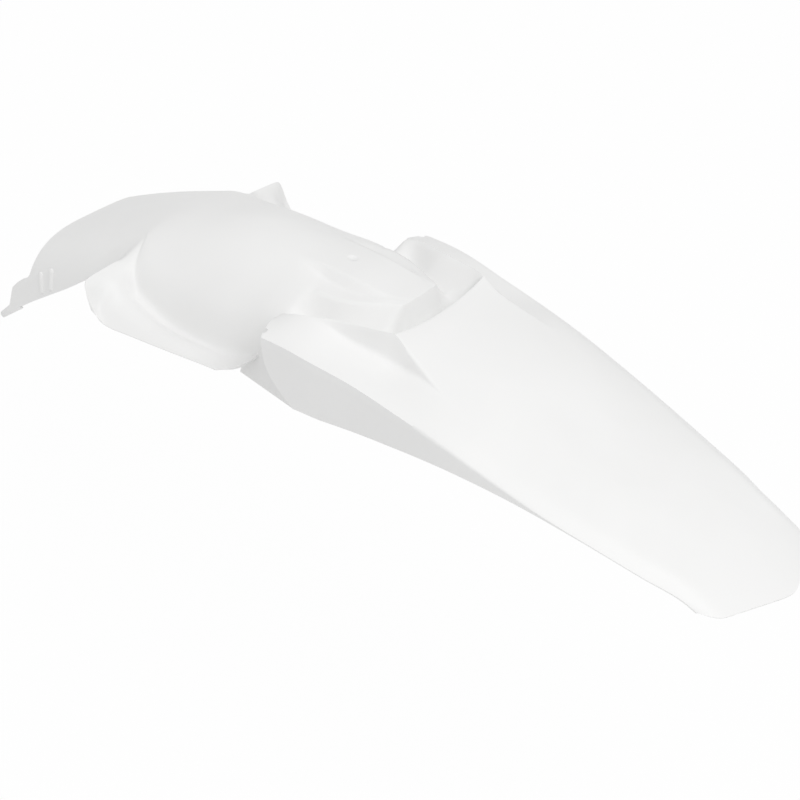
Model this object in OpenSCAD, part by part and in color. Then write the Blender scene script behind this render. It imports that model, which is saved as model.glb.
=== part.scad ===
// Rear fender of an off-road motorcycle, moulded in one piece of white plastic.
// X runs rearwards along the tail, Y across, Z up. The origin is midway between
// the two subframe bolts. The tail tapers to a blunt V, its front is a raised
// collar round the seat, and ahead of that an arch covers the wheel, with a flap
// on each side. The skin is one lofted sheet of even thickness.

/* [Tail] */
// Length from the front of the wings to the point of the tail
tail_length = 418; // [380:1:470]
// Width over the wings, at the front of the tail
wing_width = 226; // [205:1:240]
// Width across the corners of the tail's tip
tip_width = 152; // [120:1:170]
// How far the middle of the tip reaches past its corners
tip_reach = 32; // [15:1:45]
// Radius that rounds the corners of the tip
tip_rounding = 12; // [8:1:16]
// Drop of the tail's middle line from the collar to the tip
tail_drop = 37; // [25:1:50]
// Height of the side walls at the front of the wings
side_wall = 49; // [37:1:60]

/* [Collar] */
// Height of the collar's rear edge above the wing fronts
collar_height = 32; // [26:1:38]
// Width of the raised deck at the collar's rear corners
deck_width = 124; // [105:1:135]
// Length of the collar, from the wing fronts to the rear edge
collar_length = 80; // [70:1:95]
// Depth of the valley below the collar's edge
valley_depth = 20; // [12:1:24]

/* [Seat land] */
// Height of the spine along the middle of the seat land
spine_rise = 9; // [4:1:12]
// Width of the spine
spine_width = 46; // [36:1:52]

/* [Arch] */
// Width of the arch over the wheel
arch_width = 172; // [160:1:178]
// Length of the arch ahead of the wing fronts
arch_length = 254; // [236:1:280]
// Height from the flaps' root up to the crown of the arch
arch_rise = 81; // [70:1:92]
// Drop of the crown at the front end of the arch
nose_drop = 87; // [78:1:96]

/* [Flaps] */
// Width over both flaps at the front rim
flap_width = 254; // [235:1:270]
// Length of the flaps along the arch
flap_length = 132; // [118:1:140]
// Height of the turned-down outer edge at the front corner
flap_lip = 21; // [14:1:28]

/* [Skin and holes] */
// Thickness of the skin
wall = 3; // [2.4:0.1:3.6]
// Diameter of the subframe bolt holes
bolt_hole_d = 6.6; // [5.2:0.1:8.6]
// Distance between the two subframe bolt holes, across the fender
bolt_spacing = 128; // [124:1:132]
// Diameter of the flat pads round the subframe bolt holes
bolt_pad_d = 16; // [13:1:17]
// Diameter of the locating dimple on the spine
dimple_d = 7; // [5:0.5:10]

/* [Hidden] */

half_wing = wing_width / 2;
half_tip = tip_width / 2;
half_deck = deck_width / 2;
half_arch = arch_width / 2;
half_flap = flap_width / 2;
half_spine = spine_width / 2;

// The lofted skin has one row of points for each place along the length, and in
// each row 41 points from the near outer edge over the middle to the far one.
// Counted outwards from the middle line, these columns follow the features.
SPINE_EDGE = 3;
SPINE_FOOT = 5;
LAND_EDGE = 7;
VALLEY = 9;
CREST = 11;
ROOT = 13;
NOSE_EDGE = 15;
EDGE = 17;
RIM = 20;

// Rows along the front lugs, the nose ahead of the flaps, the flaps, and the wings and tail
LUG_ROWS = [-264, -260, -255];
NOSE_ROWS = [-250, -242, -232, -222, -211, -200, -189, -178, -170, -164];
FLAP_ROWS = [-160, -156, -151, -146, -141, -135, -127, -117, -105, -92, -78, -64, -51, -39, -30, -21, -12];
WING_ROWS = [-8, -3, 3, 9, 16, 24, 32, 40, 48, 55, 61, 65, 69, 72, 76, 80, 84, 90, 98, 107, 117, 128, 140,
    155, 173, 194, 217, 240, 263, 286, 309, 332, 352, 370, 385, 397, 407, 413, 418];
ROWS = concat(LUG_ROWS, NOSE_ROWS, FLAP_ROWS, WING_ROWS);
FIRST_NOSE_ROW = len(LUG_ROWS);
FIRST_FLAP_ROW = FIRST_NOSE_ROW + len(NOSE_ROWS);
LAST_FLAP_ROW = FIRST_FLAP_ROW + len(FLAP_ROWS) - 1;

function mix(a, b, t) = a + (b - a) * t;
function clamp(t) = max(0, min(1, t));
function ease(t) = clamp(t) * clamp(t) * (3 - 2 * clamp(t));

// Smooth curve through [place, value] pairs
function slope_at(p, i) = i == 0 ? (p[1][1] - p[0][1]) / (p[1][0] - p[0][0])
    : i == len(p) - 1 ? (p[i][1] - p[i - 1][1]) / (p[i][0] - p[i - 1][0])
    : (p[i + 1][1] - p[i - 1][1]) / (p[i + 1][0] - p[i - 1][0]);
function span_at(p, x, i = 0) = i >= len(p) - 2 || x < p[i + 1][0] ? i : span_at(p, x, i + 1);
function along(p, x) = let (i = span_at(p, x), w = p[i + 1][0] - p[i][0], t = clamp((x - p[i][0]) / w))
    p[i][1] * (2 * t * t * t - 3 * t * t + 1) + slope_at(p, i) * w * (t * t * t - 2 * t * t + t)
    + p[i + 1][1] * (3 * t * t - 2 * t * t * t) + slope_at(p, i + 1) * w * (t * t * t - t * t);

// Tail: outer edge, middle line and side wall
function edge_y(x) = mix(half_tip, half_wing, along([[0, 1], [40, 0.99], [80, 0.89], [130, 0.84],
    [190, 0.75],
    [250, 0.6], [300, 0.38], [350, 0.15], [386, 0.02], [418, 0]], x));
function edge_z(x) = along([[-8, 0], [20, 4.4], [60, 7], [100, 7.8], [160, 6], [210, 1.8], [250, -1.5],
    [300, -4.5],
    [350, -8], [418, -12]], x);
function middle_z(x) = collar_height - 2 - tail_drop * (x - 80) / (418 - 80);
function wall_drop(x) = 1 + (side_wall - 1) * along([[-8, 1.25], [42, 1], [68, 0.92], [120, 0.62],
    [169, 0.34],
    [205, 0.16], [235, 0.05], [270, 0], [418, 0]], x);

// Collar and deck: the crest is the collar's top edge, and behind it the deck's shoulder
function crest_y(x) = half_deck - 62 + along([[-8, 82], [5, 83], [15, 80], [29, 76], [44, 72], [69, 66],
    [80, 62],
    [93, 62.5], [108, 66], [122, 69], [140, 72], [200, 72], [300, 62], [418, 54]], x);
function crest_rise(x) = along([[-8, 3.5], [5, 11.6], [15, 15.6], [29, 20.3], [44, 24.5], [69, 31],
    [80, 33],
    [93, 27.5], [108, 24.5], [122, 22], [140, 20]], x) * collar_height / 32;
function foot_y(x) = half_deck - 62 + along([[-8, 88], [20, 82], [48, 75], [80, 67], [95, 66.5],
    [114, 69.5],
    [140, 74], [200, 78], [300, 66], [418, 56]], x);
function foot_z(x) = along([[-8, 3.2], [5, 11], [20, 15], [32, 14.5], [48, 12.5], [80, 12.5], [95, 13],
    [114, 17], [140, 19.3]], x);
function deck_z(x, y) = let (rim_y = edge_y(x) - 13, rim_z = edge_z(x) + 6.5)
    y < rim_y ? middle_z(x) - (middle_z(x) - rim_z) * pow(y / rim_y, 2.6)
    : mix(rim_z, edge_z(x), pow((y - rim_y) / 13, 1.3));

// Seat land: spine, its foot, the land's edge and the valley inside the collar
function spine_edge_y(x) = along([[-160, 20], [-30, half_spine], [14, half_spine], [44, half_spine - 2],
    [62, 12],
    [80, 16], [140, 20], [418, 15]], x);
function spine_foot_y(x) = along([[-160, 32], [-30, half_spine + 5], [14, half_spine + 7],
    [44, half_spine + 3],
    [62, 19], [80, 28], [140, 33], [418, 25]], x);
function land_edge_y(x) = along([[-160, 45], [-140, 48], [7, 48], [22, 45], [41, 35], [57, 25],
    [64, 24], [80, 39],
    [140, 46], [418, 35]], x);
function valley_y(x) = along([[-160, 51], [-150, 64], [-140, 72], [-120, 74], [-10, 74], [0, 64], [12, 58],
    [28, 55], [44, 51], [55, 48], [69, 46], [80, 50], [140, 59], [418, 45]], x);
function crown_z(x) = along([[-250, -nose_drop], [-213, -55.5], [-185, -34], [-160, -19.5], [-129, -7],
    [-95, 6.5],
    [-60, 14.5], [-27, 19.5], [0, 23.6], [14, 26], [44, 28.6], [62, 31]], x);
function land_z(x) = along([[-27, 11], [7, 15.5], [22, 18.5], [41, 23.4], [57, 28.5], [62, 30]], x);
function spine_foot_z(x) = mix(crown_z(x) - 0.8, land_z(x) + 1, clamp(spine_rise / 9) * ease((x + 34) / 36)
    * (1 - ease((x - 24) / 30)));
function valley_z(x) = along([[-20, -8], [-8, -6], [5, -4.5], [20, -3.5], [36, 0], [50, 3.5], [62, 6],
    [76, 9]], x)
    + 20 - valley_depth;

// Arch: half an ellipse across, whose foot is the flaps' root
function arch_y(x) = along([[-250, half_arch - 10], [-200, half_arch - 8], [-164, half_arch - 5],
    [-160, half_arch - 3], [-135, half_arch], [-8, half_arch]], x);
function arch_foot(x) = along([[-250, -158], [-238, -145.5], [-225, -131], [-199, -101], [-164, -64],
    [-160, -60], [-135, -63],
    [-98, -71], [-68, -66], [-38, -58], [-25, -50], [-12, -38]],
    x) - (arch_rise - 81) * ease((x + 250) / 90);
function root_turn(x) = min(90, along([[-160, 41], [-149, 67], [-142, 79], [-133, 90], [-8, 90]], x));
function nose_turn(x) = min(90, along([[-250, 90], [-225, 89.5], [-200, 88], [-164, 75]], x));
function fullness(x) = mix(0.53, 1, ease((x + 260) / 96));
function arch_point(x, turn) = [x, arch_y(x) * pow(sin(turn), fullness(x)),
    mix(arch_foot(x), crown_z(x), pow(cos(turn), fullness(x)))];

// Half-width of an inner column, and how far round the arch it lies there
function column_y(x, c) =
    c <= SPINE_EDGE ? spine_edge_y(x) * c / SPINE_EDGE
    : c <= SPINE_FOOT ? mix(spine_edge_y(x), spine_foot_y(x), (c - SPINE_EDGE) / 2)
    : c <= LAND_EDGE ? mix(spine_foot_y(x), land_edge_y(x), (c - SPINE_FOOT) / 2)
    : c <= VALLEY ? mix(land_edge_y(x), valley_y(x), (c - LAND_EDGE) / 2)
    : c == VALLEY + 1 && x > 0 && x < 75 ? mix(crest_y(x) - 8, mix(valley_y(x), crest_y(x), 0.5),
    ease((x - 16) / 20))
    : mix(valley_y(x), crest_y(x), (c - VALLEY) / 2);
function flank_turn(x, c) = c <= VALLEY ? asin(min(1, column_y(x, c) / arch_y(x)))
    : mix(flank_turn(x, VALLEY), root_turn(x), (c - VALLEY) / (ROOT - VALLEY));

// Flap: from the root out to the turned-down outer edge
FLAP_SHARE = [0, 0.1, 0.25, 0.45, 0.7, 0.85, 0.93, 1];
function flap_edge_y(x) = half_flap - 127 + along([[-160, 127], [-141, 126.5], [-115, 125], [-75, 122],
    [-28, 118],
    [-12, 117]], x);
function flap_edge_z(x) = along([[-160, -45 - flap_lip], [-150, -48 - flap_lip], [-141, -50 - flap_lip],
    [-115, -68],
    [-75, -60.5], [-39, -54], [-12, -50]], x);
function rim_point(c) = [[54, -30], [67, -36], [80, -42.5], [100, -44], [half_flap - 5, -45.5],
    [half_flap - 1, -49],
    [half_flap, -57], [half_flap, -45 - flap_lip]][c - ROOT];
function flap_line(x, s) = let (root = arch_point(x, root_turn(x)))
    [mix(root[1], flap_edge_y(x), s), mix(root[2], flap_edge_z(x), s)];
function flap_point(x, c) = let (s = FLAP_SHARE[c - ROOT], line = flap_line(x, s),
    flare = (rim_point(c) - flap_line(-160, s)) * (1 - ease((x + 160) / mix(24, 11, s))),
    swell = along([[-160, 10], [-120, 9], [-60, 5], [-12, -3]], x) * pow(sin(180 * s),
    1.6) * ease((x + 160) / 20),
    back = (148 - flap_length) * pow(s, 1.5) * pow((x + 160) / 148, 3),
    slant = [0, 0, 0, 0, 0, 2, 7, 14][c - ROOT] * (1 - ease((x + 160) / 60)))
    [x - back + slant, line[0] + flare[0], line[1] + flare[1] + swell];

// Nose: the arch ahead of the flaps, down to its own lower edge, and the lugs that
// carry its flanks on past the front edge
LUG_TOP = 13;
function lug_point(x, c) = let (top = along([[-264, -147], [-260, -139], [-255, -131.5], [-250, -126]], x),
    low = along([[-264, -166], [-260, -167.5], [-255, -163], [-250, -158]], x))
    [x, arch_y(-250), mix(top, low, clamp((c - LUG_TOP) / (NOSE_EDGE - LUG_TOP)))];
function nose_point(x, c) = let (even = nose_turn(x) * c / NOSE_EDGE,
    led = c <= ROOT ? flank_turn(-160, c) : mix(41, nose_turn(x), (c - ROOT) / 2))
    arch_point(x, mix(even, led, ease((x + 200) / 36)));

// Seat land and collar, ahead of the deck
function land_point(x, c) = let (y = column_y(x, c), behind = ease((x - 62) / 7),
    up = pow(clamp((x - 69) / 11), 2.2),
    spine = crown_z(x) - 0.8 * pow(y / half_spine, 2),
    inner = c <= SPINE_EDGE ? spine
        : c <= SPINE_FOOT ? mix(crown_z(x) - 0.8, spine_foot_z(x), (c - SPINE_EDGE) / 2)
        : c <= LAND_EDGE ? mix(spine_foot_z(x), land_z(x), (c - SPINE_FOOT) / 2)
        : c <= VALLEY ? mix(land_z(x), valley_z(x), (c - LAND_EDGE) / 2) : valley_z(x),
    dropped = mix(inner, valley_z(x), behind),
    deck = mix(middle_z(80), crest_rise(80), pow(y / crest_y(80), 2)),
    bowl = mix(dropped, deck, up))
    [x, y, c <= VALLEY ? bowl : mix(mix(valley_z(x), deck, up), crest_rise(x),
        c == CREST ? 1 : 0.5 * (1 - clamp(x / 5) * (1 - ease((x - 16) / 20))))];

// Deck and tail behind the collar's rear edge
function tail_turn(x) = ease((x - 110) / 40);
function tip_x(y) = let (s = tip_reach / half_tip * 1.05)
    tail_length + s * 10 - s * sqrt(y * y + 100)
    - tip_rounding * (1 - sqrt(max(0, 1 - pow(max(0, y - half_tip + tip_rounding) / tip_rounding, 2))));
function deck_point(x, c) = let (y = column_y(x, c),
    near = mix(middle_z(x), crest_rise(x), pow(y / crest_y(x), 2)))
    [x, y, mix(near, deck_z(x, y), tail_turn(x))];

// Wing top and side wall
function wing_point(x, c) = let (
    t = (c - ROOT) / (EDGE - ROOT), ye = edge_y(x), yf = foot_y(x),
    y = c == ROOT - 1 ? mix(crest_y(x), yf, 0.5) : mix(yf, ye, t),
    flat = c == ROOT - 1 ? mix(crest_rise(x), foot_z(x), 0.5) : mix(foot_z(x), edge_z(x), t),
    ahead = 8 * pow(max(0, c - CREST) / (EDGE - CREST), 2.4) * (1 - clamp((x + 8) / 60)))
    [x + ahead, y, mix(flat, deck_z(x, y), tail_turn(x))];
function wall_point(x, c) = let (t = (c - EDGE) / (RIM - EDGE),
    lead = 8 * (1 - clamp((x + 8) / 60)) + 42 * t * t * (1 - clamp((x + 8) / 140)), at = x + lead)
    [at, edge_y(at) - 2 * t * (1 - clamp(at / 200)), edge_z(at) - wall_drop(at) * t];

// Sets the rows behind the side walls out to the V of the tip, and stretches to the driving lengths
function to_tip(p) = p[0] < 330 ? p : [mix(330, tip_x(p[1]), (p[0] - 330) / 88), p[1], p[2]];
function stretch(p) = [
    p[0] < -160 ? -160 + (p[0] + 160) * (arch_length - 160) / 90
    : p[0] < 0 ? p[0] : p[0] < 80 ? p[0] * collar_length / 80
    : p[0] < 330 ? collar_length + (p[0] - 80) * (330 - collar_length) / 250 : p[0], p[1], p[2]];

function skin_point(r, c) = let (x = ROWS[r])
    r < FIRST_NOSE_ROW ? lug_point(x, c)
    : r < FIRST_FLAP_ROW ? nose_point(x, min(c, NOSE_EDGE))
    : r <= LAST_FLAP_ROW ? (c < ROOT ? blend_arch(x, c) : flap_point(x, c))
    : x < 80 ? (c <= CREST ? land_point(x, c) : c <= EDGE ? wing_point(x, c) : wall_point(x, c))
    : to_tip(c <= CREST ? deck_point(x, c) : c <= EDGE ? wing_point(x, c) : wall_point(x, c));
function blend_arch(x, c) = let (a = arch_point(x, flank_turn(x, c)), b = land_point(x, c),
    w = ease((x + 50) / 50))
    c > VALLEY ? a : mix(a, b, w);

COLUMNS = 2 * RIM + 1;
function side(c) = c < RIM ? -1 : 1;
OUTER = [for (r = [0:len(ROWS) - 1], c = [0:COLUMNS - 1]) let (p = stretch(skin_point(r, abs(c - RIM))))
    [p[0], p[1] * side(c), p[2]]];
function at(r, c) = OUTER[r * COLUMNS + c];

// A cell of the skin is left out where the real sheet ends: between the lugs, ahead
// of the flaps' rim, and between the flaps and the wings
function has_cell(r, c) = let (k = c < RIM ? RIM - 1 - c : c - RIM)
    r < 0 || c < 0 || r > len(ROWS) - 2 || c > COLUMNS - 2 ? false
    : r < FIRST_NOSE_ROW ? k >= LUG_TOP && k < NOSE_EDGE
    : r < FIRST_FLAP_ROW ? k < NOSE_EDGE : r == LAST_FLAP_ROW ? k < ROOT : true;
function unit(v) = norm(v) > 0 ? v / norm(v) : [0, 0, 0];
function cell_normal(r, c) = has_cell(r, c)
    ? unit(cross(at(r + 1, c + 1) - at(r, c), at(r, c + 1) - at(r + 1, c))) : [0, 0, 0];
NORMALS = [for (r = [0:len(ROWS) - 2], c = [0:COLUMNS - 2]) cell_normal(r, c)];
function kept_normal(r, c) = r < 0 || c < 0 || r > len(ROWS) - 2 || c > COLUMNS - 2 ? [0, 0, 0]
    : NORMALS[r * (COLUMNS - 1) + c];
function inward(r, c) = let (parts = [kept_normal(r - 1, c - 1), kept_normal(r - 1, c), kept_normal(r,
    c - 1),
    kept_normal(r, c)], total = parts[0] + parts[1] + parts[2] + parts[3],
    count = norm(parts[0]) + norm(parts[1]) + norm(parts[2]) + norm(parts[3]))
    count == 0 ? [0, 0, 0] : -unit(total) * wall / max(0.72, norm(total) / count);
INNER = [for (r = [0:len(ROWS) - 1], c = [0:COLUMNS - 1]) at(r, c) + inward(r, c)];

PER_SKIN = len(ROWS) * COLUMNS;
function pair(a, b, c, d) = [[a, b, c], [a, c, d]];
FACES = [for (r = [0:len(ROWS) - 2], c = [0:COLUMNS - 2]) if (has_cell(r, c)) let (
        a = r * COLUMNS + c, b = a + 1, e = a + COLUMNS, f = e + 1, i = PER_SKIN)
    each concat(pair(a, b, f, e), pair(e + i, f + i, b + i, a + i),
        has_cell(r - 1, c) ? [] : pair(a, a + i, b + i, b),
        has_cell(r + 1, c) ? [] : pair(f, f + i, e + i, e),
        has_cell(r, c - 1) ? [] : pair(e, e + i, a + i, a),
        has_cell(r, c + 1) ? [] : pair(b, b + i, f + i, f))];

module skin() {
    polyhedron(points = concat(OUTER, INNER), faces = FACES, convexity = 10);
}

// Inner skirts: the arch's flanks run on under the wings, behind the flaps
skirt_y = half_arch + 2;
function wing_under(x) = mix(foot_z(x), edge_z(x),
    (skirt_y - foot_y(x)) / (edge_y(x) - foot_y(x))) - wall * 0.6;
SKIRT = concat([[-24, -64], [-24, -53], [-12, -40], [-6, -10]],
    [for (x = [-3, 10, 25, 40, 55]) [x, wing_under(x)]],
    [[60, -46], [30, -64]]);
module skirt() {
    rotate([90, 0, 0])
        linear_extrude(wall)
            polygon(SKIRT);
}

// Each front lug ends in a thin prong at its foot, and on the flank behind it stand
// two low ribs
prong_gap = 0.2;
prong_shift = 254 - arch_length;
PRONG = [[-262, -159], [-268, -165], [-277, -180], [-277, -183], [-273, -184], [-255, -162]];
module prong() {
    translate([prong_shift, arch_y(-250) - prong_gap, 0])
        rotate([90, 0, 0])
            linear_extrude(wall - 2 * prong_gap)
                polygon(PRONG);
}

rib_r = wall * 0.7;
rib_sink = 0.6;
function flank_y(x, z) = let (rise = clamp((z - arch_foot(x)) / (crown_z(x) - arch_foot(x))))
    arch_y(x) * pow(sin(acos(pow(rise, 1 / fullness(x)))), fullness(x));
function rib_end(x, z) = stretch([x, flank_y(x, z) - rib_sink, z]);
module rib(top, foot) {
    hull()
        for (end = [top, foot])
            translate(end)
                sphere(r = rib_r, $fn = 10);
}
module nose_ribs() {
    rib(rib_end(-241, -116), rib_end(-235.5, -134));
    rib(rib_end(-228, -101), rib_end(-224, -121));
}

// Subframe bolts sit on flat pads on the valley's floor, the spine has a shallow
// locating dimple, and the front edge of each wing a half-round notch
bolt_x = 12;
bolt_y = bolt_spacing / 2;
pad_top = valley_z(bolt_x) + 1.5;
pad_height = 6;
dimple_x = -4;
dimple_depth = 1;
dimple_r = (pow(dimple_d / 2, 2) + pow(dimple_depth, 2)) / (2 * dimple_depth);
notch_d = 6;
notch_x = -3.4;
notch_y = half_wing - 7;
module pads() {
    for (hand = [-1, 1])
        translate([bolt_x, hand * bolt_y, pad_top - pad_height])
            cylinder(d = bolt_pad_d, h = pad_height, $fn = 36);
}
module holes() {
    for (hand = [-1, 1]) {
        translate([bolt_x, hand * bolt_y, pad_top - 2 * pad_height])
            cylinder(d = bolt_hole_d, h = 4 * pad_height, $fn = 36);
        translate([notch_x, hand * notch_y, -2 * pad_height])
            cylinder(d = notch_d, h = 4 * pad_height, $fn = 16);
    }
    translate([dimple_x, 0, crown_z(dimple_x) + dimple_r - dimple_depth])
        sphere(r = dimple_r, $fn = 36);
}

module fender() {
    color("white")
        translate([-bolt_x, 0, -pad_top])
            difference() {
                union() {
                    skin();
                    pads();
                    for (hand = [0, 1])
                        mirror([0, hand, 0]) {
                            translate([0, skirt_y, 0])
                                skirt();
                            prong();
                            nose_ribs();
                        }
                }
                holes();
            }
}

fender();
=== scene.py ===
# %% [markdown]
# This is the rear fender of an off-road motorcycle: one sheet of white plastic,
# moulded in one piece. The exact part has been made already, and this script
# makes what it looks like. The load brings in the exact part as a frame, and its
# box is kept. The look may not grow past the real size.
# %% Load the frame
import bpy
import bmesh
import math
from mathutils import Matrix, Vector


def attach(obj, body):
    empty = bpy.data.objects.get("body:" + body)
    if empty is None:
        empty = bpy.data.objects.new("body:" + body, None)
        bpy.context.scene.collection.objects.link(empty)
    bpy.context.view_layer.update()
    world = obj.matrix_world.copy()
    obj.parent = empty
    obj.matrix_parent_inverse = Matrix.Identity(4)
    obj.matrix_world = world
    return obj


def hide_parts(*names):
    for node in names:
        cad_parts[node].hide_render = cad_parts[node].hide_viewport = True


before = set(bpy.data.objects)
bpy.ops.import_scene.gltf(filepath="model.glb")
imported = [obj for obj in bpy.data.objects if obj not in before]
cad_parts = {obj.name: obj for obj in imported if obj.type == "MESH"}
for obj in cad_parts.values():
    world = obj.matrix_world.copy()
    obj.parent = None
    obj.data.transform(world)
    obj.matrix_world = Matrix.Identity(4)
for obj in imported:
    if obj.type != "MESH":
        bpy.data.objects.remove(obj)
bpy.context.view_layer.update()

# %% [markdown]
# The sheet is not flat anywhere, so its form is given by curves along the length:
# the height of the crown, the width over the wings and so on. Each curve is a
# short list of places and values, in millimetres. A cubic curve joins them, and
# where it passes a value its slope follows the two neighbours, so nothing kinks.
# Where one form turns into another, a smooth step leads from 0 to 1.
# %% Smooth curves through places
MM = 0.001


def mix(a, b, share):
    return a + (b - a) * share


def between(x, start, end):
    return (x - start) / (end - start)


def clamp(share):
    return max(0.0, min(1.0, share))


def ease(share):
    share = clamp(share)
    return share * share * (3 - 2 * share)


def step(x, start, end):
    """0 up to the start, 1 from the end on, and a smooth way between them."""
    return ease(between(x, start, end))


def slope_at(pairs, i):
    (x0, v0), (x1, v1) = pairs[max(i - 1, 0)], pairs[min(i + 1, len(pairs) - 1)]
    return (v1 - v0) / (x1 - x0)


def along(x, *pairs):
    """Value at x of the smooth curve through (place, value) pairs."""
    i = 0
    while i < len(pairs) - 2 and x >= pairs[i + 1][0]:
        i += 1
    (x0, v0), (x1, v1) = pairs[i], pairs[i + 1]
    wide = x1 - x0
    t = clamp(between(x, x0, x1))
    return (v0 * (2 * t ** 3 - 3 * t * t + 1)
            + slope_at(pairs, i) * wide * (t ** 3 - 2 * t * t + t)
            + v1 * (3 * t * t - 2 * t ** 3)
            + slope_at(pairs, i + 1) * wide * (t ** 3 - t * t))


print("a quarter of the way the step has reached", step(0.25, 0, 1))

# %% [markdown]
# The sheet is worked out on a grid, like a net pulled over the real thing. Each
# row of the net is one place along the length, and each column follows one line
# of the fender from nose to tail: the spine's edge, the valley's floor, the
# collar's crest, the outer edge. Sculpting a fine mesh would give the form too,
# but a net that follows the features needs few points, and later its edges can be
# made sharper exactly where the mould is.
# %% Rows and columns of the net
SPINE_EDGE, SPINE_FOOT, LAND_EDGE, VALLEY, CREST = 3, 5, 7, 9, 11
ROOT, NOSE_EDGE, EDGE, RIM = 13, 15, 17, 20
NOSE_FRONT, FLAP_FRONT, FLAP_REAR, WING_FRONT = -250, -160, -12, -8
LAND_NOSE, DECK_FRONT, TIP_X = 61, 80, 418
LUG_ROWS = [-264, -260, -255]
NOSE_ROWS = [NOSE_FRONT, -242, -232, -222, -211, -200, -189, -178, -170, -164]
FLAP_ROWS = [FLAP_FRONT, -156, -151, -146, -141, -135, -127, -117, -105, -92, -78, -64, -51, -39,
             -30, -21, FLAP_REAR]
WING_ROWS = [WING_FRONT, -3, 3, 9, 16, 24, 32, 40, 48, 55, LAND_NOSE, 65, 69, 72, 76, DECK_FRONT,
             84, 90, 98, 107, 117, 128, 140, 155, 173, 194, 217, 240, 263, 286, 309, 332, 352,
             370, 385, 397, 407, 413, TIP_X]
ROWS = LUG_ROWS + NOSE_ROWS + FLAP_ROWS + WING_ROWS
FIRST_NOSE_ROW = len(LUG_ROWS)
FIRST_FLAP_ROW = FIRST_NOSE_ROW + len(NOSE_ROWS)
LAST_FLAP_ROW = FIRST_FLAP_ROW + len(FLAP_ROWS) - 1
print(len(ROWS), "rows of", 2 * RIM + 1, "points")

# %% [markdown]
# First the tail. Its outer edge tapers from 226 mm over the wings to 152 mm at
# the corners of the tip, and its top is gently crowned across and falls towards
# the tip. The side walls hang from the wings and die out half way along.
# %% Curves of the tail
WING_Y, TIP_Y = 113, 76
DECK_Z, TAIL_FALL = 30, 37
WALL_DEPTH, LEAST_DEPTH = 48, 1
ROLL_WIDTH, ROLL_RISE, ROLL_RISE_AT_TIP = 13, 6.5, 2.5
CROWN_POWER, ROLL_POWER = 2.6, 1.3


def edge_y(x):
    return mix(TIP_Y, WING_Y, along(x, (0, 1), (40, 0.99), (80, 0.89), (130, 0.84), (190, 0.75),
                                    (250, 0.6), (300, 0.38), (350, 0.17), (386, 0.05), (418, 0)))


def edge_z(x):
    return along(x, (-8, 0), (20, 4.4), (60, 7), (100, 7.8), (160, 6), (210, 1.8), (250, -1.5),
                 (300, -4.5), (350, -7.5), (392, -9.2), (418, -12))


def middle_z(x):
    return DECK_Z - TAIL_FALL * (x - DECK_FRONT) / (TIP_X - DECK_FRONT)


def wall_drop(x):
    return LEAST_DEPTH + WALL_DEPTH * along(
        x, (-8, 1.25), (42, 1), (68, 0.92), (120, 0.62), (169, 0.34), (205, 0.16), (235, 0.05),
        (270, 0), (418, 0))


def tail_z(x, y):
    """Height of the tail's top: a flat crown that rolls down to the outer edge."""
    roll_y = edge_y(x) - ROLL_WIDTH
    roll_z = edge_z(x) + mix(ROLL_RISE, ROLL_RISE_AT_TIP, step(x, 350, 410))
    if y < roll_y:
        return middle_z(x) - (middle_z(x) - roll_z) * (y / roll_y) ** CROWN_POWER
    return mix(roll_z, edge_z(x), ((y - roll_y) / ROLL_WIDTH) ** ROLL_POWER)


print("width over the wings", round(2 * edge_y(0)), "mm, at the tip", round(2 * edge_y(400)), "mm")

# %% [markdown]
# Next the collar, which rises round the seat's tail. Its crest starts at the
# front corners of the wings, climbs rearwards and turns straight across at the
# back. Outside the crest a leaf-shaped facet drops to the foot on the wing.
# %% Curves of the collar
def crest_y(x):
    return along(x, (-8, 82), (5, 83), (15, 80), (29, 76), (44, 72), (69, 66), (80, 62),
                 (93, 62.5), (108, 66), (122, 69), (140, 72), (200, 72), (300, 62), (418, 54))


def crest_z(x):
    return along(x, (-8, 3.5), (5, 11.6), (15, 15.6), (29, 20.3), (44, 24.5), (69, 31), (80, 33),
                 (93, 27.5), (108, 24.5), (122, 22), (140, 20))


def foot_y(x):
    return along(x, (-8, 88), (20, 82), (48, 75), (80, 67), (95, 66.5), (114, 69.5), (140, 74),
                 (200, 78), (300, 66), (418, 56))


def foot_z(x):
    return along(x, (-8, 3.2), (5, 11), (20, 16), (32, 17), (42, 15), (54, 12.8), (80, 12.5),
                 (95, 13), (114, 17), (140, 19.3))


height = crest_z(DECK_FRONT) - foot_z(DECK_FRONT)
print("the collar's rear edge stands", round(height), "mm over the foot")

# %% [markdown]
# Inside the collar the seat rests on a land with a raised spine along its middle.
# A valley runs round it, and the two subframe bolts are down there, out of sight.
# The spine narrows to a rounded nose just ahead of the collar's rear wall.
# %% Curves of the seat land
SPINE_Y, SPINE_CROWN = 23, 0.8
FOOT_OVER_LAND = 1


def spine_edge_y(x):
    return along(x, (-160, 20), (-30, 23), (14, 23), (44, 21), (62, 12), (80, 16), (140, 20),
                 (418, 15))


def spine_foot_y(x):
    return along(x, (-160, 32), (-30, 28), (14, 30), (44, 26), (62, 19), (80, 28), (140, 33),
                 (418, 25))


def land_edge_y(x):
    return along(x, (-160, 45), (-140, 48), (7, 48), (22, 45), (41, 35), (57, 25), (64, 24),
                 (80, 39), (140, 46), (418, 35))


def valley_y(x):
    return along(x, (-160, 51), (-150, 64), (-140, 72), (-120, 74), (-10, 74), (0, 64), (12, 58),
                 (28, 55), (44, 51), (55, 48), (69, 46), (80, 50), (140, 59), (418, 45))


def crown_z(x):
    return along(x, (-250, -87), (-213, -55.5), (-185, -34), (-160, -19.5), (-129, -7), (-95, 6.5),
                 (-60, 14.5), (-27, 19.5), (0, 23.6), (14, 26), (44, 28.6), (62, 31))


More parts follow.
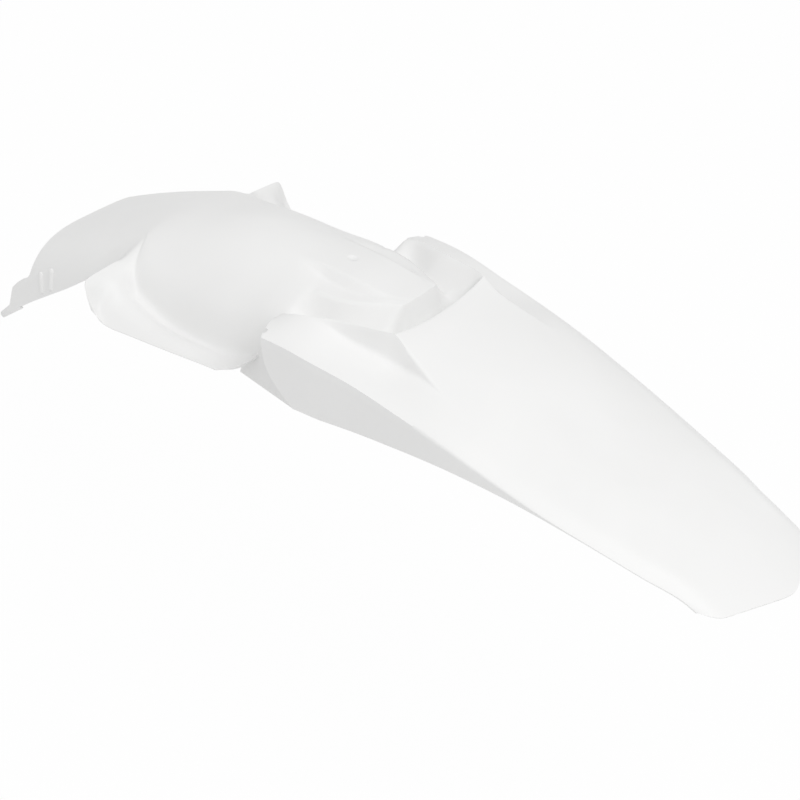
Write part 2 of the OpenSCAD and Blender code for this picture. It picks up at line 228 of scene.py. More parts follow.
def land_z(x):
    return along(x, (-27, 11), (7, 15.5), (22, 18.5), (41, 23.4), (57, 28.5), (62, 30))


def spine_foot_z(x):
    return mix(crown_z(x) - SPINE_CROWN, land_z(x) + FOOT_OVER_LAND,
               step(x, -46, -8) * (1 - step(x, 32, 58)))


def valley_z(x):
    return along(x, (-20, -8), (-8, -6), (5, -4.5), (20, -3.5), (36, 0), (50, 3.5), (62, 6),
                 (76, 9))


print("the valley's floor lies", round(land_z(12) - valley_z(12)), "mm below the land")

# %% [markdown]
# Ahead of the wings the sheet arches over the wheel. Across, the arch is half an
# ellipse, and a point on it is given by how far round it lies, so it stays round
# however few points it has. Towards the nose the ellipse is pushed out to a
# boxier form, as the real one is, to clear the tyre's shoulders.
# %% Curves of the arch
NOSE_FULLNESS = 0.53


def arch_y(x):
    return along(x, (-250, 76), (-200, 78), (-164, 81), (-160, 83), (-135, 86), (-8, 86))


def arch_foot(x):
    return along(x, (-250, -158), (-238, -145.5), (-225, -131), (-199, -101), (-164, -64),
                 (-160, -60), (-135, -63), (-98, -71), (-68, -66), (-38, -58), (-25, -50),
                 (-12, -38))


def root_turn(x):
    return min(90, along(x, (-160, 41), (-149, 67), (-142, 79), (-133, 90), (-8, 90)))


def nose_turn(x):
    return min(90, along(x, (-250, 90), (-225, 89.5), (-200, 88), (-164, 75)))


def fullness(x):
    """Power of the ellipse's sine and cosine: 1 is round, less is boxier."""
    return mix(NOSE_FULLNESS, 1, step(x, -260, -164))


def arch_point(x, turn):
    full = fullness(x)
    round_to = math.radians(turn)
    return (x, arch_y(x) * math.sin(round_to) ** full,
            mix(arch_foot(x), crown_z(x), max(0.0, math.cos(round_to)) ** full))


print("the arch is", round(2 * arch_y(-100)), "mm wide inside the flaps")

# %% [markdown]
# With the curves known, each point of the net can be placed. A column's distance
# from the middle line is shared out evenly between the two features it lies
# between. On the arch the same columns are turned into angles.
# %% Where an inner column lies
COLLAR_WALL, COLLAR_FRONT, COLLAR_REAR = 8, 0, 75


def wall_to_slope(x):
    """0 where the collar's inside is a steep wall, 1 where it is an even slope."""
    return step(x, 16, 36)


def column_y(x, c):
    if c <= SPINE_EDGE:
        return spine_edge_y(x) * c / SPINE_EDGE
    if c <= SPINE_FOOT:
        return mix(spine_edge_y(x), spine_foot_y(x), between(c, SPINE_EDGE, SPINE_FOOT))
    if c <= LAND_EDGE:
        return mix(spine_foot_y(x), land_edge_y(x), between(c, SPINE_FOOT, LAND_EDGE))
    if c <= VALLEY:
        return mix(land_edge_y(x), valley_y(x), between(c, LAND_EDGE, VALLEY))
    sloping = mix(valley_y(x), crest_y(x), between(c, VALLEY, CREST))
    if c == VALLEY + 1 and COLLAR_FRONT < x < COLLAR_REAR:
        return mix(crest_y(x) - COLLAR_WALL, sloping, wall_to_slope(x))
    return sloping


def flank_turn(x, c):
    if c <= VALLEY:
        return math.degrees(math.asin(min(1, column_y(x, c) / arch_y(x))))
    return mix(flank_turn(x, VALLEY), root_turn(x), between(c, VALLEY, ROOT))


print("half-widths of the columns at the bolts", [round(column_y(12, c)) for c in range(CREST + 1)])

# %% [markdown]
# The flaps grow out of the arch's foot. Across, a flap is a straight line that
# swells up a little. At the front it flares into a rolled rim, and its outer edge
# is turned down, which stiffens it. Where it leaves the arch the mould has a
# fillet, so the points next to the root are moved out and up.
# %% Points of the flaps
FLAP_SHARE = [0, 0.1, 0.25, 0.45, 0.7, 0.85, 0.93, 1]
FRONT_RIM = [(54, -30), (67, -36), (80, -42.5), (100, -44), (122, -45.5), (126, -49), (127, -57),
             (127, -66)]
RIM_SLANT = [0, 0, 0, 0, 0, 2, 7, 14]
ROOT_FILLET = {0: (1.2, 4.6), 1: (1.6, 1.6), 2: (0.5, 0.2)}
FLARE_AT_ROOT, FLARE_AT_EDGE, REAR_SWEEP = 24, 11, 16


def flap_line(x, share):
    """A point on the straight line across the flap, from the root to the outer edge."""
    root = arch_point(x, root_turn(x))
    out_y = along(x, (-160, 127), (-141, 126.5), (-115, 125), (-75, 122), (-28, 118), (-12, 117))
    out_z = along(x, (-160, -66), (-150, -69), (-141, -71), (-115, -68), (-75, -60.5), (-39, -54),
                  (-12, -50))
    return mix(root[1], out_y, share), mix(root[2], out_z, share)


def flap_swell(x, share):
    height = along(x, (-160, 10), (-120, 9), (-60, 5), (-12, -3))
    return height * max(0, math.sin(math.pi * share)) ** 1.6 * step(x, -160, -140)


def flap_point(x, c):
    n = c - ROOT
    share = FLAP_SHARE[n]
    y, z = flap_line(x, share)
    rim_y, rim_z = flap_line(FLAP_FRONT, share)
    flare = 1 - ease((x - FLAP_FRONT) / mix(FLARE_AT_ROOT, FLARE_AT_EDGE, share))
    back = REAR_SWEEP * share ** 1.5 * between(x, FLAP_FRONT, FLAP_REAR) ** 3
    slant = RIM_SLANT[n] * (1 - step(x, -160, -100))
    out, up = (size * step(x, -152, -130) * (1 - step(x, -42, -12))
               for size in ROOT_FILLET.get(n, (0, 0)))
    return (x - back + slant, y + (FRONT_RIM[n][0] - rim_y) * flare + out,
            z + (FRONT_RIM[n][1] - rim_z) * flare + flap_swell(x, share) + up)


print("front corner of a flap", [round(v) for v in flap_point(FLAP_FRONT, RIM)])

# %% [markdown]
# The nose is the arch ahead of the rims, down to its own lower edge, and at its
# front corners the flanks run on forwards as two lugs. Its columns are led over
# from the arch's, so that the net has no break between the two.
# %% Points of the nose and the lugs
LUG_TOP = 13
NOSE_LENGTH, NOSE_DRAWN = 94, FLAP_FRONT - NOSE_FRONT


def nose_point(x, c):
    even = nose_turn(x) * c / NOSE_EDGE
    if c <= ROOT:
        led = flank_turn(FLAP_FRONT, c)
    else:
        led = mix(root_turn(FLAP_FRONT), nose_turn(x), between(c, ROOT, NOSE_EDGE))
    return arch_point(x, mix(even, led, step(x, -200, -164)))


def lug_point(x, c):
    top = along(x, (-264, -147), (-260, -139), (-255, -131.5), (-250, -126))
    low = along(x, (-264, -166), (-260, -167.5), (-255, -163), (-250, -158))
    return (x, arch_y(NOSE_FRONT), mix(top, low, clamp(between(c, LUG_TOP, NOSE_EDGE))))


def stretch_nose(p):
    """The nose's curves are drawn 90 mm long, and the real nose is 94 mm long."""
    return (FLAP_FRONT + (p[0] - FLAP_FRONT) * NOSE_LENGTH / NOSE_DRAWN, p[1], p[2])


print("front of a lug", [round(v) for v in stretch_nose(lug_point(LUG_ROWS[0], NOSE_EDGE))])

# %% [markdown]
# The seat land and the deck behind it come next. Behind its nose the land slopes
# down to the valley, and a steep wall climbs from there to the deck. The land runs
# smoothly into the arch ahead of it, so over the last 50 mm the two are blended.
# %% Points of the land and the deck
DECK_BOW, DECK_BOW_Y = 4, 62
NOSE_BOW, NOSE_BOW_Y = 1.5, 24
LAND_END, DECK_FOOT = 62, 75.5
SLOPE_IN_MIDDLE, SLOPE_AT_EDGE = 13, 6
WALL_START = 5


def bow(x, y):
    """How far the deck's front edge and the land's nose are bowed rearwards."""
    deck = DECK_BOW * (1 - (y / DECK_BOW_Y) ** 2) * step(x, 66, 76) * (1 - step(x, 84, 108))
    nose = NOSE_BOW * (1 - (y / NOSE_BOW_Y) ** 2) * step(x, 48, 61) * (1 - step(x, 61, 71))
    return max(0, deck) + max(0, nose)


def land_height(x, y, c):
    if c <= SPINE_EDGE:
        return crown_z(x) - SPINE_CROWN * (y / SPINE_Y) ** 2
    if c <= SPINE_FOOT:
        return mix(crown_z(x) - SPINE_CROWN, spine_foot_z(x), between(c, SPINE_EDGE, SPINE_FOOT))
    if c <= LAND_EDGE:
        return mix(spine_foot_z(x), land_z(x), between(c, SPINE_FOOT, LAND_EDGE))
    return mix(land_z(x), valley_z(x), between(c, LAND_EDGE, VALLEY))


def land_point(x, c):
    y = column_y(x, c)
    up = clamp(between(x, DECK_FOOT, DECK_FRONT))
    deck = mix(middle_z(DECK_FRONT), crest_z(DECK_FRONT), (y / crest_y(DECK_FRONT)) ** 2)
    if c <= VALLEY:
        slope = mix(SLOPE_IN_MIDDLE, SLOPE_AT_EDGE, min(1, c / LAND_EDGE) ** 2)
        bowl = mix(land_height(x, y, c), valley_z(x), clamp((x - LAND_END) / slope))
        return (x + bow(x, y), y, mix(bowl, deck, up))
    climb = 1 if c == CREST else 0.5 * (1 - clamp(x / WALL_START) * (1 - wall_to_slope(x)))
    return (x + bow(x, y), y, mix(mix(valley_z(x), deck, up), crest_z(x), climb))


def arch_to_land_point(x, c):
    on_arch = arch_point(x, flank_turn(x, c))
    if c > VALLEY:
        return on_arch
    return tuple(mix(a, b, step(x, -50, 0)) for a, b in zip(on_arch, land_point(x, c)))


def on_tail(x):
    """0 on the deck and the wings beside the collar, 1 on the plain tail behind them."""
    return step(x, 110, 150)


def deck_point(x, c):
    y = column_y(x, c)
    near = mix(middle_z(x), crest_z(x), (y / crest_y(x)) ** 2)
    return (x + bow(x, y), y, mix(near, tail_z(x, y), on_tail(x)))


print("nose of the spine", [round(v) for v in land_point(LAND_NOSE, 0)])

# %% [markdown]
# Last come the wing tops and the side walls below them. The wings' front edges
# are swept back towards the outside, and the walls' more so.
# %% Points of the wings and the walls
WING_SWEEP, WING_SWEEP_LENGTH, SWEEP_POWER = 8, 60, 2.4
WALL_SWEEP, WALL_SWEEP_LENGTH = 42, 140
WALL_LEAN, WALL_LEAN_END = 2, 200


def fade(x, length):
    """1 at the wings' front, and straight down to 0 over a length behind it."""
    return 1 - clamp((x - WING_FRONT) / length)


def wing_point(x, c):
    y, flat = foot_y(x), foot_z(x)
    if c < ROOT:
        y, flat = mix(crest_y(x), y, 0.5), mix(crest_z(x), flat, 0.5)
    else:
        y, flat = (mix(y, edge_y(x), between(c, ROOT, EDGE)),
                   mix(flat, edge_z(x), between(c, ROOT, EDGE)))
    back = WING_SWEEP * between(c, CREST, EDGE) ** SWEEP_POWER * fade(x, WING_SWEEP_LENGTH)
    return (x + back, y, mix(flat, tail_z(x, y), on_tail(x)))


def wall_point(x, c):
    share = between(c, EDGE, RIM)
    at = (x + WING_SWEEP * fade(x, WING_SWEEP_LENGTH)
          + WALL_SWEEP * share ** 2 * fade(x, WALL_SWEEP_LENGTH))
    lean = WALL_LEAN * share * (1 - clamp(at / WALL_LEAN_END))
    return (at, edge_y(at) - lean, edge_z(at) - wall_drop(at) * share)


print("lower front corner of a side wall", [round(v) for v in wall_point(WING_FRONT, RIM)])

# %% [markdown]
# The tail ends in a blunt V: a hyperbola, which is straight at the sides and round
# at the point, with rounded corners. Its sides are 5% steeper than the depth needs,
# because the round point takes some of it away. The rows behind the walls are set
# out to it little by little, so only the last one has the V's full depth.
# %% The tip, and every point of the net
TIP_START, TIP_DEPTH, TIP_CORNER, TIP_ROUND = 330, 32, 13, 10
STEEPER = 1.05
TIP_SLOPE = TIP_DEPTH / TIP_Y * STEEPER


def tip_x(y):
    corner = max(0, y - TIP_Y + TIP_CORNER) / TIP_CORNER
    return (TIP_X + TIP_SLOPE * TIP_ROUND - TIP_SLOPE * math.hypot(y, TIP_ROUND)
            - TIP_CORNER * (1 - math.sqrt(max(0, 1 - corner ** 2))))


def towards_tip(p):
    if p[0] < TIP_START:
        return p
    return (mix(TIP_START, tip_x(p[1]), between(p[0], TIP_START, TIP_X)), p[1], p[2])


def net_point(r, c):
    x = ROWS[r]
    if r < FIRST_NOSE_ROW:
        return stretch_nose(lug_point(x, c))
    if r < FIRST_FLAP_ROW:
        return stretch_nose(nose_point(x, min(c, NOSE_EDGE)))
    if r <= LAST_FLAP_ROW:
        return arch_to_land_point(x, c) if c < ROOT else flap_point(x, c)
    if c > EDGE:
        return towards_tip(wall_point(x, c))
    if c > CREST:
        return towards_tip(wing_point(x, c))
    return towards_tip(land_point(x, c) if x < DECK_FRONT else deck_point(x, c))


print("point of the tail", [round(v) for v in net_point(len(ROWS) - 1, 0)])

# %% [markdown]
# The net is one flat grid from Blender's own operator, and its points are moved
# to their places. The left half mirrors the right. Where the real sheet ends,
# between the lugs, ahead of the flaps' rims and between the flaps and the wings,
# the cells are taken out. The origin is between the two subframe bolts, so
# everything is moved there.
# %% Lay the net
BOLT_X, BOLT_Y = 12.0, 64.0
PAD_RISE = 1.5
PAD_TOP = valley_z(BOLT_X) + PAD_RISE


def place(x, y, z):
    """A point in the fender's own millimetres, in metres from the bolts."""
    return Vector(((x - BOLT_X) * MM, y * MM, (z - PAD_TOP) * MM))


def is_sheet(r, c):
    if r < FIRST_NOSE_ROW:
        return LUG_TOP <= c < NOSE_EDGE
    if r < FIRST_FLAP_ROW:
        return c < NOSE_EDGE
    return c < ROOT or r != LAST_FLAP_ROW


def lay_net():
    net = bmesh.new()
    across = 2 * RIM
    bmesh.ops.create_grid(net, x_segments=len(ROWS) - 1, y_segments=across, size=1)
    net.verts.ensure_lookup_table()
    order = sorted(net.verts, key=lambda v: (round(v.co.x, 5), round(v.co.y, 5)))
    where = {}
    for n, v in enumerate(order):
        r, i = divmod(n, across + 1)
        x, y, z = net_point(r, abs(i - RIM))
        v.co = place(x, y if i >= RIM else -y, z)
        where[v] = (r, i)
    gone = []
    for f in net.faces:
        r = min(where[v][0] for v in f.verts)
        i = min(where[v][1] for v in f.verts)
        if not is_sheet(r, RIM - 1 - i if i < RIM else i - RIM):
            gone.append(f)
    bmesh.ops.delete(net, geom=gone, context="FACES")
    return net, {v: at for v, at in where.items() if v.is_valid}


net, where = lay_net()
print("net of", len(net.faces), "cells")

# %% [markdown]
# A mould leaves small radii at its edges, larger ones where the sheet merely
# bends. Subdivision would round everything alike, so the edges along the features
# get a crease: the higher it is, the tighter the radius that stays. A rule names
# a column, the stretch of its length, and how sharp it is there.
# %% Crease the features
CREASES_ALONG = [(EDGE, FLAP_FRONT, FLAP_REAR, 0.3), (ROOT, FLAP_FRONT, -135, 0.25),
                 (ROOT, WING_FRONT, 110, 0.3), (LAND_EDGE, -4, 61, 0.6), (VALLEY, 3, 60, 0.2),
                 (VALLEY + 1, 3, 60, 0.2), (SPINE_EDGE, -30, 56, 0.8), (SPINE_FOOT, -30, 56, 0.8)]
CREASES_ACROSS = {DECK_FRONT: (CREST, 0.65), LAND_NOSE: (LAND_EDGE, 0.8)}


def crease_along(x, column):
    if column == EDGE and x >= WING_FRONT:
        return along(x, (-8, 0.72), (200, 0.6), (320, 0.35), (418, 0.35))
    if column == CREST and WING_FRONT <= x < 130:
        return along(x, (-8, 0.5), (60, 0.6), (90, 0.5), (130, 0), (418, 0))
    for line, start, end, sharpness in CREASES_ALONG:
        if column == line and start <= x <= end:
            return sharpness
    return 0


def crease_across(x, column):
    last, sharpness = CREASES_ACROSS.get(x, (0, 0))
    return sharpness if column <= last else 0


def crease_features(net, where):
    layer = net.edges.layers.float.new("crease_edge")
    count = 0
    for e in net.edges:
        (r0, i0), (r1, i1) = (where[v] for v in e.verts)
        column = max(abs(i0 - RIM), abs(i1 - RIM))
        if i0 == i1:
            e[layer] = max(0.0, crease_along((ROWS[r0] + ROWS[r1]) / 2, column))
        else:
            e[layer] = crease_across(ROWS[r0], column)
        count += e[layer] > 0
    return count


print(crease_features(net, where), "edges creased")

# %% [markdown]
# Two rounds of subdivision turn the net into the smooth sheet. They are made
# final here, because the holes are cut after them: round a hole the cells have to
# be small, so that the pad that carries the hole covers their ragged border.
# %% Subdivide to a smooth sheet
def to_object(name, mesh_data, smooth=True):
    mesh = bpy.data.meshes.new(name)
    mesh_data.to_mesh(mesh)
    mesh_data.free()
    obj = bpy.data.objects.new(name, mesh)
    bpy.context.scene.collection.objects.link(obj)
    for polygon in mesh.polygons:
        polygon.use_smooth = smooth
    return obj


def smooth_sheet(net):
    cage = to_object("net of the fender", net)
    rounds = cage.modifiers.new("rounds", "SUBSURF")
    rounds.levels = rounds.render_levels = 2
    rounds.boundary_smooth = "PRESERVE_CORNERS"
    solved = cage.evaluated_get(bpy.context.evaluated_depsgraph_get())
    sheet = bmesh.new()
    sheet.from_mesh(solved.to_mesh())
    bpy.data.objects.remove(cage)
    return sheet


sheet = smooth_sheet(net)
print("smooth sheet of", len(sheet.faces), "cells")

# %% [markdown]
# The sheet has two round holes, for the subframe bolts, and the cells inside each
# are taken out. Two small marks are worked into the sheet itself: a shallow dimple
# on the spine, and a half-round notch in the front edge of each wing. A Boolean
# would leave long thin faces there. Instead the cells are cut finer first, and
# then their points are pushed to the mark's form.
# %% Cut the holes, the dimple and the notches
SIDES = {"right": 1, "left": -1}
OPENING_R = 4.6
DIMPLE_X, DIMPLE_R, DIMPLE_DEPTH, DIMPLE_REACH, DIMPLE_POWER = -4.0, 4.5, 1.0, 7.5, 0.8
NOTCH_X, NOTCH_Y, NOTCH_R, NOTCH_REACH = -3.4, 106.0, 3.0, 5.5
TOP_SIDE_Z = -0.012


def is_near(point, at, reach):
    """Within reach of a place, on the sheet's top and not on a flap or wall below it."""
    return (point - at).to_2d().length < reach * MM and point.z > TOP_SIDE_Z


def cells_near(sheet, at, reach):
    return [f for f in sheet.faces if is_near(f.calc_center_median(), at, reach)]


def finer_points(sheet, at, reach, cuts):
    edges = dict.fromkeys(e for f in cells_near(sheet, at, reach) for e in f.edges)
    bmesh.ops.subdivide_edges(sheet, edges=list(edges), cuts=cuts, use_grid_fill=True)
    return [v for v in sheet.verts if is_near(v.co, at, reach)]


def open_hole(sheet, at):
    bmesh.ops.delete(sheet, geom=cells_near(sheet, at, OPENING_R), context="FACES")


def press_dimple(sheet, at):
    for v in finer_points(sheet, at, DIMPLE_REACH, cuts=4):
        away = (v.co - at).to_2d().length / (DIMPLE_R * MM)
        v.co.z -= DIMPLE_DEPTH * MM * max(0.0, 1 - away ** 2) ** DIMPLE_POWER


def cut_notch(sheet, at):
    for v in finer_points(sheet, at, NOTCH_REACH, cuts=2):
        out = (v.co - at).to_2d()
        if 0 < out.length < NOTCH_R * MM:
            v.co.xy = at.xy + out.normalized() * NOTCH_R * MM


for hand in SIDES.values():
    open_hole(sheet, place(BOLT_X, hand * BOLT_Y, 0))
press_dimple(sheet, place(DIMPLE_X, 0, 0))
for hand in SIDES.values():
    cut_notch(sheet, place(NOTCH_X, hand * NOTCH_Y, 0))
print("two holes, one dimple and two notches in", len(sheet.faces), "cells")

# %% [markdown]
# Now the sheet gets its wall inwards, and its free edges a small radius, as a mould
# gives them. Modifiers do both, so the sheet itself stays easy to change. Solidify
# is set to the real wall of 3 mm. Its thickness clamp keeps the wall from crossing
# itself in tight corners, but it also holds the wall to 1.2 times a cell's edges.
# The cells are small, so most of this wall is 1 to 2 mm, thinner than the exact
# part's. That shows only at the free edges and from below.
# %% Give the sheet its wall
WALL, WALL_CLAMP, EDGE_RADIUS = 3.0, 1.2, 0.5

bmesh.ops.recalc_face_normals(sheet, faces=sheet.faces)
top = max(sheet.faces, key=lambda f: f.calc_center_median().z)
if top.normal.z < 0:
    bmesh.ops.reverse_faces(sheet, faces=sheet.faces)
fender_skin = to_object("moulded_skin", sheet)
wall = fender_skin.modifiers.new("wall", "SOLIDIFY")
wall.thickness = WALL * MM
wall.offset = -1
wall.use_even_offset = True
wall.thickness_clamp = WALL_CLAMP
edge_radius = fender_skin.modifiers.new("edge radius", "BEVEL")
edge_radius.width = EDGE_RADIUS * MM
edge_radius.segments = 2
edge_radius.limit_method = "ANGLE"
edge_radius.angle_limit = math.radians(55)
edge_radius.harden_normals = True
print("skin with Solidify set to", WALL, "mm, clamped where cells are small")

# %% [markdown]
# Round each bolt hole the moulding is thicker, with a flat pad for the bolt's
# flange. A cylinder with a hole would need two steps and a Boolean, so a pad is a
# small section, with its corners already taken off, that is spun once round.
# %% Bolt pads
BORE_R, PAD_R, PAD_HEIGHT = 3.3, 8, 6


def bolt_pad(name, y):
    pad = bmesh.new()
    bore, rim, low, corner = BORE_R * MM, PAD_R * MM, -PAD_HEIGHT * MM, EDGE_RADIUS * MM
    section = [(bore, low), (rim - corner, low), (rim, low + corner), (rim, -corner),
               (rim - corner, 0), (bore + corner, 0), (bore, -corner)]
    points = [pad.verts.new((r, 0, z)) for r, z in section]
    for a, b in zip(points, points[1:] + points[:1]):
        pad.edges.new((a, b))
    bmesh.ops.spin(pad, geom=pad.verts[:] + pad.edges[:], cent=(0, 0, 0), axis=(0, 0, 1),
                   dvec=(0, 0, 0), angle=math.tau, steps=64, use_merge=True,
                   use_duplicate=False)
    bmesh.ops.remove_doubles(pad, verts=pad.verts, dist=1e-6)
    bmesh.ops.translate(pad, verts=pad.verts, vec=place(BOLT_X, y, PAD_TOP))
    bmesh.ops.recalc_face_normals(pad, faces=pad.faces)
    made = to_object(name, pad)
    made.data.set_sharp_from_angle(angle=math.radians(50))
    return made


pads = [bolt_pad("bolt_pad_" + side, hand * BOLT_Y) for side, hand in SIDES.items()]
print(len(pads), "pads")

# %% [markdown]
# Below the wings the arch's flanks run on as inner skirts, and each lug ends in a
# thin prong. These are flat plates in the real mould too, so each is one outline
# that is extruded and bevelled.
# %% Skirts and prongs
SKIRT_Y, PRONG_Y, PRONG_WALL = 88, 73.2, 2.6


def wing_under(x):
    """Height of a skirt's top edge: within the real wing's 3 mm wall."""
    on_wing = mix(foot_z(x), edge_z(x), between(SKIRT_Y, foot_y(x), edge_y(x)))
    return on_wing - WALL * 0.6


def plates(name, outline, inner_y, thickness):
    made = []
    for side, hand in SIDES.items():
        flat = bmesh.new()
        flat.faces.new([flat.verts.new(place(x, inner_y, z)) for x, z in outline])
        out = bmesh.ops.extrude_face_region(flat, geom=flat.faces[:])
        moved = [v for v in out["geom"] if isinstance(v, bmesh.types.BMVert)]
        bmesh.ops.translate(flat, verts=moved, vec=(0, thickness * MM, 0))
        bmesh.ops.scale(flat, verts=flat.verts, vec=(1, hand, 1))
        bmesh.ops.recalc_face_normals(flat, faces=flat.faces)
        sharp = [e for e in flat.edges if e.calc_face_angle(0) > math.radians(40)]
        bmesh.ops.bevel(flat, geom=sharp, offset=EDGE_RADIUS * MM, segments=2, profile=0.5,
                        affect="EDGES", material=-1)
        piece = to_object(name + "_" + side, flat)
        piece.data.set_sharp_from_angle(angle=math.radians(35))
        made.append(piece)
    return made


SKIRT = ([(-24, -64), (-24, -50.5), (-13.5, -37), (-8, -10)]
         + [(x, wing_under(x)) for x in (-3, 10, 25, 40, 55)] + [(60, -46), (30, -64)])
PRONG = [(-262, -159), (-268, -165), (-277, -180), (-277, -183), (-273, -184), (-255, -162)]
skirts = plates("skirt", SKIRT, SKIRT_Y - WALL, WALL)
prongs = plates("prong", PRONG, PRONG_Y, PRONG_WALL)
print(len(skirts), "skirts and", len(prongs), "prongs")

# %% [markdown]
# Two low ribs stand on each flank of the nose. A rib is the hull round two small
# balls, one at its top and one at its foot. They are flattened along the fender
# and sunk into the flank, so that a soft ridge is left.
# %% Ribs on the nose
RIB_R, RIB_SINK, RIB_FLATNESS = 3.0, 0.6, 0.65


def rib_end(x, z):
    rise = clamp(between(z, arch_foot(x), crown_z(x)))
    turn = math.degrees(math.acos(rise ** (1 / fullness(x))))
    return stretch_nose((x, arch_point(x, turn)[1] - RIB_SINK, z))


def rib_pair(name, top, foot):
    made = []
    for side, hand in SIDES.items():
        balls, ridge = bmesh.new(), bmesh.new()
        for x, y, z in (top, foot):
            flat = (Matrix.Translation(place(x, y * hand, z))
                    @ Matrix.Diagonal((1, RIB_FLATNESS, 1, 1)))
            bmesh.ops.create_uvsphere(balls, u_segments=20, v_segments=12, radius=RIB_R * MM,
                                      matrix=flat)
        points = [ridge.verts.new(v.co) for v in balls.verts]
        balls.free()
        out = bmesh.ops.convex_hull(ridge, input=points)
        inside = {v for key in ("geom_interior", "geom_unused") for v in out[key]
                  if isinstance(v, bmesh.types.BMVert)}
        bmesh.ops.delete(ridge, geom=list(inside), context="VERTS")
        bmesh.ops.recalc_face_normals(ridge, faces=ridge.faces)
        made.append(to_object(name + "_" + side, ridge))
    return made


ribs = (rib_pair("front_rib", top=rib_end(-238.5, -117), foot=rib_end(-233.5, -130))
        + rib_pair("rear_rib", top=rib_end(-229, -107), foot=rib_end(-225, -121)))
print(len(ribs), "ribs")

# %% [markdown]
# The material is white polypropylene as it comes from a polished but not
# mirror-bright mould. Three things make it read as that plastic: a slow change of
# gloss where the melt cooled unevenly, a very fine grain, and a soft sheen from
# the shader's own roughness. The patterns are in the object's own metres.
# %% Make the white plastic
def dial(node, **values):
    """Set a node's sockets; an underscore stands for a space in a socket's name."""
    for name, value in values.items():
        node.inputs[name.replace("_", " ")].default_value = value


def white_plastic():
    material = bpy.data.materials.new("white moulded plastic")
    material.use_nodes = True
    nodes, links = material.node_tree.nodes, material.node_tree.links
    shader = nodes["Principled BSDF"]
    dial(shader, IOR=1.49, Specular_IOR_Level=0.42)
    place_in = nodes.new("ShaderNodeTexCoord")
    flow = nodes.new("ShaderNodeTexNoise")
    dial(flow, Scale=9, Detail=3, Distortion=0.6)
    links.new(place_in.outputs["Object"], flow.inputs["Vector"])
    tint = nodes.new("ShaderNodeValToRGB")
    darker, lighter = tint.color_ramp.elements
    darker.position, darker.color = 0.3, (0.865, 0.865, 0.86, 1)
    lighter.position, lighter.color = 0.7, (0.89, 0.89, 0.885, 1)
    links.new(flow.outputs["Fac"], tint.inputs["Fac"])
    links.new(tint.outputs["Color"], shader.inputs["Base Color"])
    gloss = nodes.new("ShaderNodeMapRange")
    dial(gloss, From_Min=0.3, From_Max=0.7, To_Min=0.38, To_Max=0.47)
    links.new(flow.outputs["Fac"], gloss.inputs["Value"])
    links.new(gloss.outputs["Result"], shader.inputs["Roughness"])
    grain = nodes.new("ShaderNodeTexNoise")
    dial(grain, Scale=1400, Detail=2)
    links.new(place_in.outputs["Object"], grain.inputs["Vector"])
    relief = nodes.new("ShaderNodeBump")
    dial(relief, Strength=0.12, Distance=0.00006)
    links.new(grain.outputs["Fac"], relief.inputs["Height"])
    links.new(relief.outputs["Normal"], shader.inputs["Normal"])
    return material


plastic = white_plastic()
pieces = [fender_skin] + pads + skirts + prongs + ribs
for piece in pieces:
    piece.data.materials.clear()
    piece.data.materials.append(plastic)
    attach(piece, "root")
    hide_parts("fender")
print("one plastic on", len(pieces), "pieces")

# %% [markdown]
# A pale floor stays well below the fender, which hangs as if held by its bolts.
# To the camera and in reflections it is nearly white paper, so the background
# stays white without more light on the fender. A little shadow still shows on it.
# %% Floor
FLOOR_Z, FLOOR_SIZE = -0.42, 6
PAPER_GLOW = 0.97


def pale_floor():
    flat = bmesh.new()
    bmesh.ops.create_grid(flat, x_segments=1, y_segments=1, size=FLOOR_SIZE)
    bmesh.ops.translate(flat, verts=flat.verts, vec=(0, 0, FLOOR_Z))
    floor = to_object("floor", flat, smooth=False)
    paper = bpy.data.materials.new("white paper")
    paper.use_nodes = True
    nodes, links = paper.node_tree.nodes, paper.node_tree.links
    shader = nodes["Principled BSDF"]
    dial(shader, Base_Color=(0.84, 0.84, 0.84, 1), Roughness=0.9)
    glow = nodes.new("ShaderNodeEmission")
    dial(glow, Color=(1, 1, 1, 1))
    path = nodes.new("ShaderNodeLightPath")
    mirrored = nodes.new("ShaderNodeMath")
    mirrored.operation = "MAXIMUM"
    links.new(path.outputs["Is Camera Ray"], mirrored.inputs[0])
    links.new(path.outputs["Is Glossy Ray"], mirrored.inputs[1])
    seen = nodes.new("ShaderNodeMath")
    seen.operation = "MULTIPLY"
    seen.inputs[1].default_value = PAPER_GLOW
    links.new(mirrored.outputs["Value"], seen.inputs[0])
    both = nodes.new("ShaderNodeMixShader")
    links.new(seen.outputs["Value"], both.inputs["Fac"])
    links.new(shader.outputs["BSDF"], both.inputs[1])
    links.new(glow.outputs["Emission"], both.inputs[2])
    links.new(both.outputs["Shader"], nodes["Material Output"].inputs["Surface"])
    floor.data.materials.append(paper)
    return floor


pale_floor()
print("floor laid", -FLOOR_Z, "m below the bolts")

# %% [markdown]
# The light is that of a product photograph on white. A wide soft light hangs
# overhead, a little to the rear and to the camera's side. The room is white above
# and greyer towards the horizon and away from the camera. So shadows are faint,
# and whatever leans away from the top goes grey.
# %% Light
BRIGHT_SIDE = (0.05, -0.4, 0.92)
ROOM_DIM, ROOM_BRIGHT = 0.42, 0.93


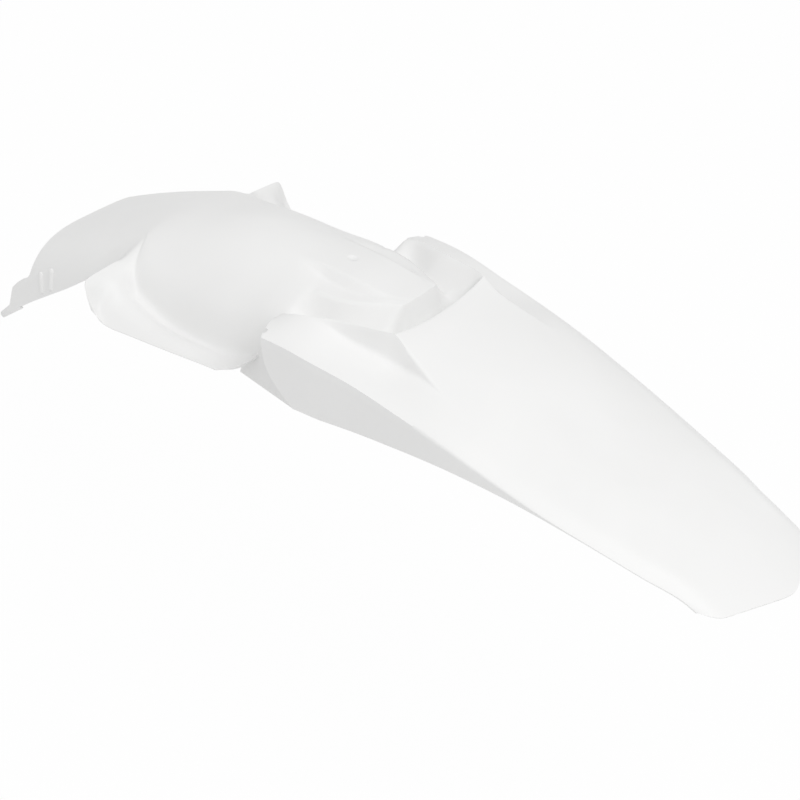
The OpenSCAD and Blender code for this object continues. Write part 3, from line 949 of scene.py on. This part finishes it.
def soft_room():
    world = bpy.data.worlds.new("white room")
    bpy.context.scene.world = world
    world.use_nodes = True
    nodes, links = world.node_tree.nodes, world.node_tree.links
    background = nodes["Background"]
    dial(background, Color=(1, 1, 1, 1))
    direction = nodes.new("ShaderNodeTexCoord")
    height = nodes.new("ShaderNodeVectorMath")
    height.operation = "DOT_PRODUCT"
    height.inputs[1].default_value = BRIGHT_SIDE
    links.new(direction.outputs["Generated"], height.inputs[0])
    level = nodes.new("ShaderNodeMapRange")
    dial(level, From_Min=-0.4, To_Min=ROOM_DIM, To_Max=ROOM_BRIGHT)
    links.new(height.outputs["Value"], level.inputs["Value"])
    path = nodes.new("ShaderNodeLightPath")
    shown = nodes.new("ShaderNodeMix")
    dial(shown, B=1)
    links.new(path.outputs["Is Camera Ray"], shown.inputs["Factor"])
    links.new(level.outputs["Result"], shown.inputs["A"])
    links.new(shown.outputs["Result"], background.inputs["Strength"])


def soft_light(name, at, aim, size, power):
    lamp = bpy.data.lights.new(name, "AREA")
    lamp.shape = "DISK"
    lamp.size = size
    lamp.energy = power
    light = bpy.data.objects.new(name, lamp)
    bpy.context.scene.collection.objects.link(light)
    light.location = at
    light.rotation_euler = (Vector(aim) - Vector(at)).to_track_quat("-Z", "Y").to_euler()


soft_room()
soft_light("overhead light", at=(0.8, -0.35, 1.75), aim=(0.05, 0, 0), size=1.2, power=9.5)
bpy.context.scene.view_settings.view_transform = "Standard"
print("room lit")

# %% [markdown]
# The camera stands where the photographer stood: to the left of the fender, above
# it and further back than its tip, with a long lens. Its place and its three axes
# were measured on the photograph, so the axes are set as a matrix.
# %% Camera
CAMERA_AT = (543.2, -1068.8, 840.7)
CAMERA_RIGHT = (0.78192, 0.56593, 0.26163)
CAMERA_UP = (-0.53700, 0.39810, 0.74377)
CAMERA_BACK = (0.31679, -0.72205, 0.61513)


def photo_camera():
    lens = bpy.data.cameras.new("photo camera")
    lens.lens = 83.25
    lens.sensor_width = 36
    camera = bpy.data.objects.new("photo camera", lens)
    bpy.context.scene.collection.objects.link(camera)
    turn = Matrix((CAMERA_RIGHT, CAMERA_UP, CAMERA_BACK)).transposed().to_4x4()
    camera.matrix_world = Matrix.Translation(place(*CAMERA_AT)) @ turn
    bpy.context.scene.camera = camera
    return camera


camera = photo_camera()
print("camera at", [round(v, 3) for v in camera.location])
